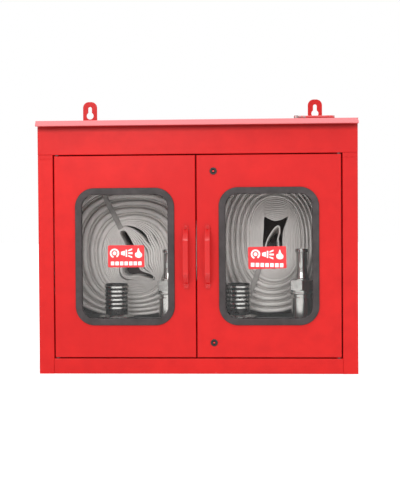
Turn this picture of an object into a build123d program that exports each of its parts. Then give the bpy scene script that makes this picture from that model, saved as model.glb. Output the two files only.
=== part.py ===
from build123d import *
import math
import os

# A two-door steel hose cabinet. X runs to the right, Y towards the wall, Z up, and the origin is
# at the middle of the base's bounding box.

# --- driving dimensions, mm ---
body_width = 750.0
body_depth = 250.0
lug_thickness = 3.0
canopy_overhang = 28.0
sheet = 1.2
bend = 2.5
sharp_bend = 2.0

# Depth planes.
front = -(body_depth + lug_thickness - canopy_overhang) / 2
back = front + body_depth
lug_back = back + lug_thickness
side = body_width / 2
inner_back = back - sheet

# Door opening.
jamb_width = 35.75
opening = side - jamb_width
sill_top = 36.0
header_bottom = 516.0
return_depth = 18.0
stop_front = front + return_depth
stop_lip = 10.0
stop_half_width = 318.0
roof_top = 595.0
wall_top = roof_top - sheet
back_flange = 20.0

# Doors.
gap = 2.5
door_depth = 16.0
door_bottom = sill_top + gap
door_top = header_bottom - gap
meeting_x = -2.0
door_spans = {"left": (gap - opening, meeting_x - gap / 2), "right": (meeting_x + gap / 2, opening - gap)}
door_middle = (door_bottom + door_top) / 2
hinge_inset = 6.0
hinge_x = opening - gap - hinge_inset
hinge_y = front + hinge_inset
pin_radius = 3.0
running = 0.05
bush_radius = 4.5
bush_length = 9.0
washer_radius = 5.0
pin_head = 2.0
pin_head_radius = 3.8

# Window, gasket and glass: widths, heights and corner radii shrink together by an inset.
gasket_width = 234.0
gasket_height = 323.0
gasket_corner = 45.0
gasket_face = 15.75
gasket_depth = 12.0
gasket_proud = 4.0
lip_cover = 6.5
glass_thickness = 4.0

# Handles.
handle_x = {"left": meeting_x - 24.0, "right": meeting_x + 27.0}
handle_length = 150.0
handle_foot = 13.0
handle_reach = 23.0
handle_thick = 5.0
handle_width = 11.5
screw_radius = 2.0
screw_inset = 6.5

# Locks on the right door.
lock_x = 39.0
lock_heights = {"top": door_top - 38.0, "bottom": door_bottom + 35.0}
lock_flange_radius = 8.4
lock_flange = 2.0
lock_body_radius = 7.0
lock_body = 17.0
rotor_radius = 5.5
rotor_head_radius = 6.3
cam_front = stop_front + sheet + 0.7
cam_thickness = 2.5
cam_reach = 42.0
cam_square = 7.0
cam_screw_radius = 2.5

# Hanging lugs.
lug_x = 288.0
lug_width = 36.0
lug_top = 665.0
lug_bottom = 560.0
slot_radius = 4.75
keyhole_radius = 9.0
slot_top = lug_top - 12.5
keyhole_z = lug_top - 35.6
rivet_radius = 2.5
rivet_heights = (570.0, 584.0)

# Contents.
shelf_top = 120.0
shelf_front = 40.0
stand_y = -20.0
coupling_x = {"left": -202.0, "right": 95.0}
branch_x = {"left": -74.0, "right": 247.0}
hose_front = 35.4
hose_width = 99.0
strap_thickness = 1.2
strap_width = 12.0


# --- helpers ---
def save(piece, name):
    """Labels a finished piece and writes its file."""
    piece.part.label = name
    export_step(piece.part, f"parts/{name}.step")


def folded(points, radius, thickness, keep):
    """The section of a folded sheet: a bent line thickened to one side."""
    with BuildLine() as line:
        FilletPolyline(*points, radius=radius)
        offset(amount=thickness, side=keep)
    return make_face(line.edges())


def at_y(y):
    """A vertical plane that faces the viewer, at a depth."""
    return Plane.XZ.offset(-y)


def block(low, high, mode=Mode.ADD):
    """A box between two corners."""
    size = [b - a for a, b in zip(low, high)]
    middle = tuple((a + b) / 2 for a, b in zip(low, high))
    with Locations(middle):
        Box(*size, mode=mode)


def rounded_window(inset, x, y, thickness, mode=Mode.ADD):
    """A rounded window slab, smaller than the gasket's outline by the inset, ending at depth y."""
    with BuildSketch(at_y(y)) as outline:
        with Locations((x, door_middle)):
            width = gasket_width - 2 * inset
            height = gasket_height - 2 * inset
            RectangleRounded(width, height, gasket_corner - inset)
    extrude(outline.sketch, amount=thickness, mode=mode)


def hexagon_prism(plane, centre, across_flats, height, turn=0):
    """A hexagonal block on a plane."""
    with BuildSketch(plane) as outline:
        with Locations(centre):
            RegularPolygon(across_flats / 2, 6, major_radius=False, rotation=turn)
    extrude(outline.sketch, amount=height)


def upright(place):
    """The vertical axis through a place."""
    return Axis(place.position, (0, 0, 1))


def section_plane(place):
    """The plane of a turned piece's section, through its axis."""
    return Plane(origin=place.position, x_dir=(1, 0, 0), z_dir=(0, -1, 0))


def turned(points):
    """A turned piece's section, from (radius, height) points."""
    with BuildLine() as line:
        Polyline(*points, close=True)
    return make_face(line.edges())


# --- shell ---
def side_wall(sign, name):
    """A side sheet with its rear flange and its front jamb, cut back above the door for the header."""
    points = [
        (sign * (side - back_flange), inner_back),
        (sign * side, inner_back),
        (sign * side, front),
        (sign * opening, front),
        (sign * opening, stop_front),
    ]
    with BuildPart() as wall:
        with BuildSketch(Plane.XY):
            folded(points, bend, sheet, Side.RIGHT if sign > 0 else Side.LEFT)
        extrude(amount=wall_top)
        cut_x = sorted((sign * (opening - 1), sign * side))
        block((cut_x[0], front, header_bottom), (cut_x[1], front + bend + 1, wall_top), Mode.SUBTRACT)
        inner_x = sorted((sign * (opening - 1), sign * (side - sheet)))
        block((inner_x[0], front, header_bottom), (inner_x[1], stop_front, wall_top), Mode.SUBTRACT)
    save(wall, name)


def back_panel():
    """The rear sheet, with holes for the lug rivets."""
    with BuildPart() as panel:
        block((-side, inner_back, 0), (side, back, wall_top))
        with BuildSketch(at_y(back)):
            with Locations(*[(s * lug_x, z) for s in (-1, 1) for z in rivet_heights]):
                Circle(rivet_radius + running)
        extrude(amount=sheet, mode=Mode.SUBTRACT)
    save(panel, "back_panel")


def floor_pan():
    """The floor, its rear upstand, and the sill folded up at the front with a stop lip."""
    upstand = 15.0
    over_sill = 60.0
    side_clearance = 8.0
    points = [
        (inner_back, upstand),
        (inner_back, 0),
        (front, 0),
        (front, sill_top),
        (stop_front, sill_top),
        (stop_front, sill_top + stop_lip),
    ]
    reach = side - sheet
    with BuildPart() as pan:
        with BuildSketch(Plane.YZ.offset(-reach)):
            folded(points, sharp_bend, sheet, Side.RIGHT)
        extrude(amount=2 * reach)
        for sign in (-1, 1):
            jamb = sorted((sign * opening, sign * reach))
            block((jamb[0], front, 0), (jamb[1], stop_front, over_sill), Mode.SUBTRACT)
            behind = stop_front + side_clearance
            block((jamb[0], stop_front, sheet), (jamb[1], behind, over_sill), Mode.SUBTRACT)
            lip = sorted((sign * stop_half_width, sign * reach))
            lip_back = stop_front + sheet
            block((lip[0], stop_front - bend, sill_top), (lip[1], lip_back, over_sill), Mode.SUBTRACT)
            rear = sorted((sign * (side - back_flange), sign * reach))
            block((rear[0], inner_back - bend, 0), (rear[1], inner_back, upstand + 5), Mode.SUBTRACT)
        with BuildSketch(Plane.XY.offset(sill_top)):
            with Locations((-hinge_x, hinge_y), (hinge_x, hinge_y)):
                Circle(pin_radius + running)
        extrude(amount=-2 * sheet, mode=Mode.SUBTRACT)
    save(pan, "floor_pan")


def header_panel():
    """The fascia above the doors, folded back over the opening with a stop lip behind the doors."""
    cut_low = header_bottom - 16
    cut_high = header_bottom + 9
    edge_round = 1.1
    points = [
        (front, wall_top),
        (front, header_bottom),
        (stop_front, header_bottom),
        (stop_front, header_bottom - stop_lip),
    ]
    with BuildPart() as header:
        with BuildSketch(Plane.YZ.offset(-side)):
            folded(points, sharp_bend, sheet, Side.LEFT)
        extrude(amount=2 * side)
        for sign in (-1, 1):
            end = sorted((sign * opening, sign * side))
            block((end[0], front + sheet, cut_low), (end[1], stop_front + 2, cut_high), Mode.SUBTRACT)
            lip = sorted((sign * stop_half_width, sign * side))
            lip_back = stop_front + sheet
            block((lip[0], stop_front - bend, cut_low), (lip[1], lip_back, header_bottom), Mode.SUBTRACT)
            flange = sorted((sign * side, sign * (side - sheet)))
            flange_back = front + bend + 1
            block((flange[0], front + sheet, header_bottom + bend), (flange[1], flange_back, wall_top))
        fillet(header.edges().filter_by(Axis.Z).group_by(Axis.Y)[0], edge_round)
        with BuildSketch(Plane.XY.offset(header_bottom)):
            with Locations((-hinge_x, hinge_y), (hinge_x, hinge_y)):
                Circle(pin_radius + running)
        extrude(amount=2 * sheet, mode=Mode.SUBTRACT)
    save(header, "header_panel")


def canopy():
    """The roof sheet, folded down at the front into a slanted lip with a hem."""
    bend_loss = 2.1
    lip_front = front - canopy_overhang - bend_loss
    lip_height = 13.0
    lip_slant = 10.0
    hem = 14.0
    corner = 9.0
    points = [
        (back, roof_top),
        (lip_front + lip_slant, roof_top),
        (lip_front, roof_top - lip_height),
        (lip_front + hem, roof_top - lip_height),
    ]
    with BuildPart() as roof:
        with BuildSketch(Plane.YZ.offset(-side)):
            folded(points, sharp_bend, sheet, Side.LEFT)
        extrude(amount=2 * side)
        # The front right corner is rounded off in the front view.
        with BuildSketch(at_y(lip_front + lip_slant + bend)):
            with Locations((side - corner / 2, roof_top - corner / 2)):
                Rectangle(corner, corner)
            with Locations((side - corner, roof_top - corner)):
                Circle(corner, mode=Mode.SUBTRACT)
        extrude(amount=lip_slant + 2 * bend, mode=Mode.SUBTRACT)
    save(roof, "canopy")


def hanging_lugs():
    """Two upright lugs with keyhole slots, fixed to the back."""
    middle = (lug_top + lug_bottom) / 2
    top_corner = 15.0
    foot_corner = 4.0
    with BuildPart() as lugs:
        with BuildSketch(at_y(lug_back)):
            for x in (-lug_x, lug_x):
                with Locations((x, middle)):
                    Rectangle(lug_width, lug_top - lug_bottom)
        extrude(amount=lug_thickness)
        fillet(lugs.edges().filter_by(Axis.Y).group_by(Axis.Z)[-1], top_corner)
        fillet(lugs.edges().filter_by(Axis.Y).group_by(Axis.Z)[0], foot_corner)
        with BuildSketch(at_y(lug_back)):
            for x in (-lug_x, lug_x):
                with Locations((x, keyhole_z)):
                    Circle(keyhole_radius)
                with Locations((x, slot_top - slot_radius)):
                    Circle(slot_radius)
                with Locations((x, (slot_top - slot_radius + keyhole_z) / 2)):
                    Rectangle(2 * slot_radius, slot_top - slot_radius - keyhole_z)
                with Locations(*[(x, z) for z in rivet_heights]):
                    Circle(rivet_radius + running)
        extrude(amount=lug_thickness, mode=Mode.SUBTRACT)
    save(lugs, "hanging_lugs")


def lug_rivets():
    """Rivets flush with the lugs' backs, with round heads inside the cabinet."""
    head_radius = 4.5
    head = 2.0
    with BuildPart() as rivets:
        for x in (-lug_x, lug_x):
            for z in rivet_heights:
                with BuildSketch(at_y(lug_back)):
                    with Locations((x, z)):
                        Circle(rivet_radius)
                extrude(amount=lug_back - inner_back)
                with BuildSketch(at_y(inner_back)):
                    with Locations((x, z)):
                        Circle(head_radius)
                extrude(amount=head, taper=30)
    save(rivets, "lug_rivets")


def hose_shelf():
    """The shelf that the rolled hoses rest on, folded down at its front and rear."""
    front_lip = 12.0
    rear_flange = 20.0
    ear_inset = 12.0
    ear_depth = 22.0
    cut_low = shelf_top - 30
    cut_high = shelf_top + 5
    points = [
        (shelf_front, shelf_top - front_lip),
        (shelf_front, shelf_top),
        (inner_back, shelf_top),
        (inner_back, shelf_top - rear_flange),
    ]
    reach = side - sheet
    with BuildPart() as shelf:
        with BuildSketch(Plane.YZ.offset(-reach)):
            folded(points, sharp_bend, sheet, Side.RIGHT)
        extrude(amount=2 * reach)
        for sign in (-1, 1):
            rear = sorted((sign * (side - back_flange), sign * reach))
            block((rear[0], inner_back - 4, cut_low), (rear[1], inner_back, cut_high), Mode.SUBTRACT)
            ear = sorted((sign * (reach - sheet), sign * reach))
            low = (ear[0], shelf_front + ear_inset, shelf_top - ear_depth)
            block(low, (ear[1], inner_back - rear_flange, shelf_top - sheet))
    save(shelf, "hose_shelf")


# --- hinges, buffers and catch ---
def hinge_pins():
    """Four headed pins through the header's and the sill's returns."""
    reach = gap + bush_length
    with BuildPart() as pins:
        for x in (-hinge_x, hinge_x):
            with BuildSketch(Plane.XY.offset(header_bottom - reach)):
                with Locations((x, hinge_y)):
                    Circle(pin_radius)
            extrude(amount=reach + sheet)
            with BuildSketch(Plane.XY.offset(header_bottom + sheet)):
                with Locations((x, hinge_y)):
                    Circle(pin_head_radius)
            extrude(amount=pin_head)
            with BuildSketch(Plane.XY.offset(sill_top + reach)):
                with Locations((x, hinge_y)):
                    Circle(pin_radius)
            extrude(amount=-reach - sheet)
            with BuildSketch(Plane.XY.offset(sill_top - sheet)):
                with Locations((x, hinge_y)):
                    Circle(pin_head_radius)
            extrude(amount=-pin_head)
    save(pins, "hinge_pins")


def rings(name, heights, xs, outer, length):
    """Plain rings on the hinge axes: washers and bushes."""
    with BuildPart() as piece:
        for z in heights:
            with BuildSketch(Plane.XY.offset(z)):
                for x in xs:
                    with Locations((x, hinge_y)):
                        Circle(outer)
                        Circle(pin_radius + running, mode=Mode.SUBTRACT)
            extrude(amount=length)
    save(piece, name)


def door_buffers():
    """Rubber pads on the stop lips, which the closed doors touch."""
    pad_length = 20.0
    pad_height = 7.0
    from_return = 2.0
    pad_back = stop_front
    pad_front = front + door_depth
    with BuildPart() as pads:
        for x in (-300.0, -110.0, 110.0, 300.0):
            for z in (sill_top + from_return, header_bottom - from_return - pad_height):
                low = (x - pad_length / 2, pad_front, z)
                block(low, (x + pad_length / 2, pad_back, z + pad_height))
    save(pads, "door_buffers")


catch_x = (-72.0, -42.0)
catch_low = header_bottom - 22


def door_catch():
    """A magnetic catch behind and below the header's stop lip."""
    rear = stop_front + 14
    step_z = header_bottom - stop_lip - 0.5
    edge_round = 1.5
    with BuildPart() as catch:
        block((catch_x[0], front + door_depth, catch_low), (catch_x[1], rear, step_z))
        block((catch_x[0], stop_front + sheet, step_z), (catch_x[1], rear, header_bottom))
        fillet(catch.edges().filter_by(Axis.X).group_by(Axis.Z)[0], edge_round)
    save(catch, "door_catch")


def catch_keeper():
    """A stepped steel keeper on the left door, which the magnet holds."""
    keeper_sheet = 1.5
    keeper_back = front + door_depth
    panel_back = front + sheet
    foot_length = 20.0
    face_length = 14.0
    step_z = catch_low - 2
    points = [
        (panel_back, step_z - foot_length),
        (panel_back, step_z),
        (keeper_back - keeper_sheet, step_z),
        (keeper_back - keeper_sheet, step_z + face_length),
    ]
    with BuildPart() as keeper:
        with BuildSketch(Plane.YZ.offset(catch_x[0])):
            folded(points, sharp_bend, keeper_sheet, Side.RIGHT)
        extrude(amount=catch_x[1] - catch_x[0])
    save(keeper, "catch_keeper")


# --- doors ---
def window_x(hand):
    return sum(door_spans[hand]) / 2


def screw_heights():
    offset_z = handle_length / 2 - screw_inset
    return (door_middle - offset_z, door_middle + offset_z)


def door_pan(hand):
    """A door folded from one sheet, with a window, hinge holes, handle holes and lock holes."""
    low, high = door_spans[hand]
    hinge = -hinge_x if hand == "left" else hinge_x
    with BuildPart() as pan:
        with BuildSketch(at_y(front + door_depth)):
            with Locations((window_x(hand), door_middle)):
                Rectangle(high - low, door_top - door_bottom)
        extrude(amount=door_depth)
        fillet(pan.faces().sort_by(Axis.Y)[0].edges(), bend)
        offset(amount=-sheet, openings=pan.faces().sort_by(Axis.Y)[-1:])
        rounded_window(lip_cover, window_x(hand), front + 3 * sheet, 3 * sheet, Mode.SUBTRACT)
        with BuildSketch(Plane.XY.offset(door_bottom)):
            with Locations((hinge, hinge_y)):
                Circle(bush_radius + running)
        extrude(amount=door_top - door_bottom, mode=Mode.SUBTRACT)
        with BuildSketch(at_y(front + 2 * sheet)):
            with Locations(*[(handle_x[hand], z) for z in screw_heights()]):
                Circle(screw_radius + running)
            if hand == "right":
                with Locations(*[(lock_x, z) for z in lock_heights.values()]):
                    Circle(lock_body_radius + running)
        extrude(amount=2 * sheet, mode=Mode.SUBTRACT)
    save(pan, f"{hand}_door_pan")


def gasket(hand):
    """A rubber H-section that grips the door's edge outside and the glass inside."""
    x = window_x(hand)
    rear = front - gasket_proud + gasket_depth
    outer_round = 2.0
    inner_round = 2.5
    margin = 10.0
    with BuildPart() as seal:
        rounded_window(0, x, rear, gasket_depth)
        rounded_window(gasket_face, x, rear, gasket_depth, Mode.SUBTRACT)
        front_face = seal.faces().sort_by(Axis.Y)[0]
        fillet(front_face.outer_wire().edges(), outer_round)
        front_face = seal.faces().sort_by(Axis.Y)[0]
        fillet(front_face.inner_wires()[0].edges(), inner_round)
        rounded_window(gasket_face - lip_cover, x, front + glass_thickness, glass_thickness, Mode.SUBTRACT)
        with BuildSketch(at_y(front + sheet)):
            with Locations((x, door_middle)):
                Rectangle(gasket_width + margin, gasket_height + margin)
                cover = gasket_corner - lip_cover
                cut = 2 * lip_cover
                RectangleRounded(gasket_width - cut, gasket_height - cut, cover, mode=Mode.SUBTRACT)
        extrude(amount=sheet, mode=Mode.SUBTRACT)
    save(seal, f"{hand}_gasket")


def glass(hand):
    """The pane, seated in the gasket's inner groove."""
    with BuildPart() as pane:
        rounded_window(gasket_face - lip_cover, window_x(hand), front + glass_thickness, glass_thickness)
    save(pane, f"{hand}_glass")


sticker_sizes = {"left": (-167.0, 277.0, 86.0, 0.0), "right": (164.0, 272.5, 89.0, 1.3)}
sticker_height = 52.0
sticker_corner = 3.0
film_thickness = 0.3


def sticker(hand):
    """A thin film on the pane's outer face."""
    x, z, width, tilt = sticker_sizes[hand]
    with BuildPart() as film:
        with BuildSketch(at_y(front)):
            with Locations((x, z)):
                RectangleRounded(width, sticker_height, sticker_corner, rotation=tilt)
        extrude(amount=film_thickness)
    save(film, f"{hand}_sticker")


def handle(hand):
    """A bow handle bent from flat bar, with a hole in each foot."""
    half = handle_length / 2
    grip = half - handle_foot - handle_reach
    bar_bend = 4.0
    foot_corner = 3.0
    points = [
        (front, door_middle - half),
        (front, door_middle - half + handle_foot),
        (front - handle_reach, door_middle - grip),
        (front - handle_reach, door_middle + grip),
        (front, door_middle + half - handle_foot),
        (front, door_middle + half),
    ]
    x = handle_x[hand]
    with BuildPart() as bow:
        with BuildSketch(Plane.YZ.offset(x - handle_width / 2)):
            folded(points, bar_bend, handle_thick, Side.LEFT)
        extrude(amount=handle_width)
        fillet(bow.faces().filter_by(Axis.Z).edges().filter_by(Axis.Y), foot_corner)
        with BuildSketch(at_y(front)):
            with Locations(*[(x, z) for z in screw_heights()]):
                Circle(screw_radius + running)
        extrude(amount=2 * handle_thick, mode=Mode.SUBTRACT)
    save(bow, f"{hand}_handle")


def handle_fixings(hand):
    """Pan-head screws through the handle's feet, and their nuts behind the door."""
    head_radius = 3.8
    head = 2.4
    nut = 3.2
    nut_across = 7.0
    cross = 5.0
    head_round = 1.2
    seat = front - handle_thick
    nut_front = front + sheet
    spots = [(handle_x[hand], z) for z in screw_heights()]
    with BuildPart() as screws:
        with BuildSketch(at_y(nut_front + nut + 1)):
            with Locations(*spots):
                Circle(screw_radius)
        extrude(amount=nut_front + nut + 1 - seat)
        with BuildSketch(at_y(seat)):
            with Locations(*spots):
                Circle(head_radius)
        extrude(amount=head)
        fillet(screws.faces().sort_by(Axis.Y)[0:2].edges(), head_round)
        with BuildSketch(at_y(seat - head + 1)):
            with Locations(*spots):
                Rectangle(cross, 1)
                Rectangle(1, cross)
        extrude(amount=2, mode=Mode.SUBTRACT)
    save(screws, f"{hand}_handle_screws")
    with BuildPart() as nuts:
        for spot in spots:
            hexagon_prism(at_y(nut_front + nut), spot, nut_across, nut)
        with BuildSketch(at_y(nut_front + nut)):
            with Locations(*spots):
                Circle(screw_radius + running)
        extrude(amount=nut, mode=Mode.SUBTRACT)
    save(nuts, f"{hand}_handle_nuts")


# --- locks ---
def lock_housings():
    """Two round housings with a front flange and a stepped bore."""
    seat = front - lock_flange
    counterbore = 1.5
    flange_round = 0.8
    with BuildPart() as housings:
        for z in lock_heights.values():
            with BuildSketch(at_y(front + lock_body)):
                with Locations((lock_x, z)):
                    Circle(lock_body_radius)
            extrude(amount=lock_body)
            with BuildSketch(at_y(front)):
                with Locations((lock_x, z)):
                    Circle(lock_flange_radius)
            extrude(amount=lock_flange)
        fillet(housings.faces().sort_by(Axis.Y)[0:2].edges(), flange_round)
        with BuildSketch(at_y(front + lock_body)):
            for z in lock_heights.values():
                with Locations((lock_x, z)):
                    Circle(rotor_radius + running)
        extrude(amount=lock_body + lock_flange, mode=Mode.SUBTRACT)
        with BuildSketch(at_y(seat + counterbore)):
            for z in lock_heights.values():
                with Locations((lock_x, z)):
                    Circle(rotor_head_radius + running)
        extrude(amount=counterbore, mode=Mode.SUBTRACT)
    save(housings, "lock_housings")


def lock_nuts():
    """A hexagonal nut behind the door on each lock housing."""
    nut = 4.0
    nut_across = 19.0
    nut_back = front + sheet + nut
    with BuildPart() as nuts:
        for z in lock_heights.values():
            hexagon_prism(at_y(nut_back), (lock_x, z), nut_across, nut)
        with BuildSketch(at_y(nut_back)):
            for z in lock_heights.values():
                with Locations((lock_x, z)):
                    Circle(lock_body_radius + running)
        extrude(amount=nut, mode=Mode.SUBTRACT)
    save(nuts, "lock_nuts")


def lock_rotor(place):
    """A turning insert with a winged centre pin in its key recess and a square for the cam."""
    z = lock_heights[place]
    head_front = front - lock_flange + 0.3
    head_back = front - lock_flange + 1.5
    recess_radius = 4.3
    recess = 8.0
    pin = 1.9
    wing = 2.2
    with BuildPart() as rotor:
        with BuildSketch(at_y(cam_front)):
            with Locations((lock_x, z)):
                Circle(rotor_radius)
        extrude(amount=cam_front - head_back)
        with BuildSketch(at_y(head_back)):
            with Locations((lock_x, z)):
                Circle(rotor_head_radius)
        extrude(amount=head_back - head_front)
        with BuildSketch(at_y(cam_front + cam_thickness)):
            with Locations((lock_x, z)):
                Rectangle(cam_square, cam_square)
        extrude(amount=cam_thickness)
        with BuildSketch(at_y(head_front + recess)):
            with Locations((lock_x, z)):
                Circle(recess_radius)
                Circle(pin, mode=Mode.SUBTRACT)
                Rectangle(2 * recess_radius, wing, mode=Mode.SUBTRACT)
        extrude(amount=recess, mode=Mode.SUBTRACT)
        with BuildSketch(at_y(cam_front + cam_thickness)):
            with Locations((lock_x, z)):
                Circle(cam_screw_radius + running)
        extrude(amount=cam_thickness + 7, mode=Mode.SUBTRACT)
    save(rotor, f"{place}_lock_rotor")


def lock_cam(place):
    """A flat cam with a round hub and a narrower tip, on the rotor's square."""
    z = lock_heights[place]
    hub = 10.0
    tip = 6.0
    with BuildPart() as cam:
        with BuildSketch(at_y(cam_front + cam_thickness)):
            with Locations((lock_x, z)):
                Circle(hub)
            with Locations((lock_x + cam_reach - tip, z)):
                Circle(tip)
            make_hull()
            with Locations((lock_x, z)):
                Rectangle(cam_square, cam_square, mode=Mode.SUBTRACT)
        extrude(amount=cam_thickness)
    save(cam, f"{place}_lock_cam")


def cam_screw(place):
    """A hexagon-head screw with a fixed washer that clamps the cam."""
    z = lock_heights[place]
    washer = 1.0
    cam_washer_radius = 6.0
    head = 3.5
    head_across = 8.0
    washer_back = cam_front + cam_thickness + washer
    with BuildPart() as screw:
        hexagon_prism(at_y(washer_back + head), (lock_x, z), head_across, head)
        with BuildSketch(at_y(washer_back)):
            with Locations((lock_x, z)):
                Circle(cam_washer_radius)
        extrude(amount=washer)
        with BuildSketch(at_y(washer_back)):
            with Locations((lock_x, z)):
                Circle(cam_screw_radius)
        extrude(amount=cam_thickness + 6)
    save(screw, f"{place}_cam_screw")


# --- couplings ---
tail_length = 78.0
coupling_half = 103.0
tail_radius = 29.5
tail_bore = 25.5
body_radius = 37.0
collar_radius = 43.0
seat_radius = 33.0
seat_depth = 12.0
seal_thickness = 4.0
coupling_base = sheet


def coupling_outline(bore_points):
    """One half's section, tail down: six ribs, a collar and the body, with its mouth at the top."""
    ribs = 6
    pitch = 10.0
    groove = 2.6
    points = [(tail_bore, 0), (tail_radius - groove, 0)]
    for rib in range(ribs):
        z = 4 + rib * pitch
        points += [(tail_radius - groove, z), (tail_radius, z + 1.5), (tail_radius, z + 5.5)]
        points += [(tail_radius - groove, z + 7)]
    points += [
        (tail_radius - groove, tail_length - 4),
        (tail_radius + 2, tail_length),
        (collar_radius - 1, tail_length),
        (collar_radius, tail_length + 1),
        (collar_radius, tail_length + 4),
        (collar_radius - 1, tail_length + 5),
        (body_radius, tail_length + 5),
        (body_radius, coupling_half - 1),
        (body_radius - 1, coupling_half),
    ]
    return points + bore_points


def coupling_pieces(hand):
    """A standing pair: a lower half with a seat, a seal in it, and an upper half with a spigot."""
    axis = Location((coupling_x[hand], stand_y, coupling_base))
    seat_z = coupling_half - seat_depth
    with BuildPart() as lower:
        with BuildSketch(section_plane(axis)):
            turned(
                coupling_outline(
                    [(seat_radius, coupling_half), (seat_radius, seat_z), (tail_bore, seat_z)]
                )
            )
        revolve(axis=upright(axis))
        spanner_slots(axis, body_radius, tail_length + 5, coupling_half)
    save(lower, f"{hand}_coupling_lower")
    with BuildPart() as seal:
        with BuildSketch(section_plane(axis)):
            turned(
                [
                    (tail_bore, seat_z),
                    (seat_radius - running, seat_z),
                    (seat_radius - running, seat_z + seal_thickness),
                    (tail_bore, seat_z + seal_thickness),
                ]
            )
        revolve(axis=upright(axis))
    save(seal, f"{hand}_coupling_seal")
    spigot = seat_depth - seal_thickness
    flipped = 2 * coupling_half
    spigot_end = coupling_half + spigot
    outline = coupling_outline(
        [
            (seat_radius - running, coupling_half),
            (seat_radius - running, spigot_end),
            (tail_bore, spigot_end),
        ]
    )
    with BuildPart() as upper:
        with BuildSketch(section_plane(axis)):
            turned([(r, flipped - z) for r, z in outline])
        revolve(axis=upright(axis))
        spanner_slots(axis, body_radius, coupling_half, flipped - tail_length - 5)
    save(upper, f"{hand}_coupling_upper")


def spanner_slots(axis, radius, low, high):
    """Four shallow upright grooves for a hook spanner."""
    with BuildSketch(Plane.XY.offset(low).move(axis)) as slots:
        with PolarLocations(radius, 4, start_angle=45):
            Rectangle(4, 9)
    extrude(slots.sketch, amount=high - low, mode=Mode.SUBTRACT)


# --- branch pipes ---
def branch_turned(hand, name, points):
    """One turned piece of a branch pipe."""
    axis = Location((branch_x[hand], stand_y, sheet))
    with BuildPart() as piece:
        with BuildSketch(section_plane(axis)):
            turned(points)
        revolve(axis=upright(axis))
    save(piece, f"{hand}_branch_{name}")


def branch_pieces(hand):
    """A plain branch pipe standing on its inlet: inlet, barrel, ring, hexagon and nozzle."""
    inlet_bore = 25.0
    barrel_bore = 21.5
    barrel = 24.5
    nozzle_bore = 14.0
    neck = 185.0
    inlet = [
        (inlet_bore, 0),
        (32, 0),
        (33, 1),
        (33, 13),
        (32, 14),
        (29, 16),
        (29, 22),
        (33, 24),
        (33, 29),
        (29, 33),
        (29, 40),
        (inlet_bore, 40),
    ]
    branch_turned(hand, "inlet", inlet)
    tube = [
        (barrel_bore, 40),
        (27.5, 40),
        (27.5, 44),
        (barrel, 48),
        (barrel, 171),
        (23, 174),
        (23, 179),
        (31, 181),
        (32, 182),
        (32, 184),
        (31, neck),
        (barrel_bore, neck),
    ]
    branch_turned(hand, "barrel", tube)
    low = neck + 4
    high = low + 25
    branch_turned(hand, "ring", [(barrel_bore, neck), (29, neck), (29, low), (barrel_bore, low)])
    axis = Location((branch_x[hand], stand_y, sheet))
    across_flats = 52.0
    with BuildPart() as hexagon:
        hexagon_prism(Plane.XY.offset(low).move(axis), (0, 0), across_flats, high - low, turn=30)
        with BuildSketch(section_plane(axis)):
            chamfer_section = [
                (25, low - 1),
                (40, low - 1),
                (40, high + 1),
                (26, high + 1),
                (30, high - 2),
                (30, low + 2),
            ]
            turned(chamfer_section)
        revolve(axis=upright(axis), mode=Mode.SUBTRACT)
        with BuildSketch(section_plane(axis)):
            turned([(0, low), (nozzle_bore + 4, low), (nozzle_bore, high), (0, high)])
        revolve(axis=upright(axis), mode=Mode.SUBTRACT)
    save(hexagon, f"{hand}_branch_hexagon")
    tip = [
        (nozzle_bore, high),
        (19, high),
        (19, high + 3),
        (17, high + 5),
        (14, high + 19),
        (13, high + 31),
        (13, high + 65),
        (15.5, high + 67),
        (15.5, high + 73),
        (14.5, high + 75),
        (10.5, high + 75),
        (9.5, high + 73),
        (9.5, high + 43),
    ]
    branch_turned(hand, "nozzle", tip)


# --- hoses and straps ---
hose_rolls = {
    "left": {
        "centre": (-176.0, 291.0),
        "half": (178.0, 170.7),
        "squareness": 2.8,
        "void": ((-196.0, 340.0), (-160.0, 295.0)),
    },
    "right": {
        "centre": (172.0, 296.0),
        "half": (128.0, 175.7),
        "squareness": 2.5,
        "void": ((161.0, 284.0), (186.0, 340.0)),
    },
}
strap_runs = {
    "left": {"inner": (-198.0, 341.0), "rim": (-254.8, 455.5)},
    "right": {"inner": (160.0, 282.0), "rim": (105.6, 134.7)},
}


def squared_oval(half, squareness):
    """Points round an oval that is fuller at its corners than an ellipse, which has squareness 2."""
    count = 40
    points = []
    for i in range(count):
        angle = 2 * math.pi * i / count
        x = math.cos(angle)
        y = math.sin(angle)
        reach = (abs(x) ** squareness + abs(y) ** squareness) ** (-1 / squareness)
        points.append((half[0] * x * reach, half[1] * y * reach))
    return points


def hose_roll(hand):
    """A flat hose rolled up on its side: a slumped oval roll with a narrow hole at its centre."""
    roll = hose_rolls[hand]
    hole_width = 26.0
    with BuildPart() as hose:
        with BuildSketch(at_y(hose_front + hose_width)):
            with Locations(roll["centre"]):
                with BuildLine() as rim:
                    Spline(*squared_oval(roll["half"], roll["squareness"]), periodic=True)
                add(make_face(rim.edges(), mode=Mode.PRIVATE))
            void = [Vector(*spot) for spot in roll["void"]]
            with Locations((void[0] + void[1]) / 2):
                run = void[1] - void[0]
                angle = math.degrees(math.atan2(run.Y, run.X))
                SlotCenterToCenter(run.length, hole_width, rotation=angle, mode=Mode.SUBTRACT)
        extrude(amount=hose_width)
    save(hose, f"{hand}_hose")


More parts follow.
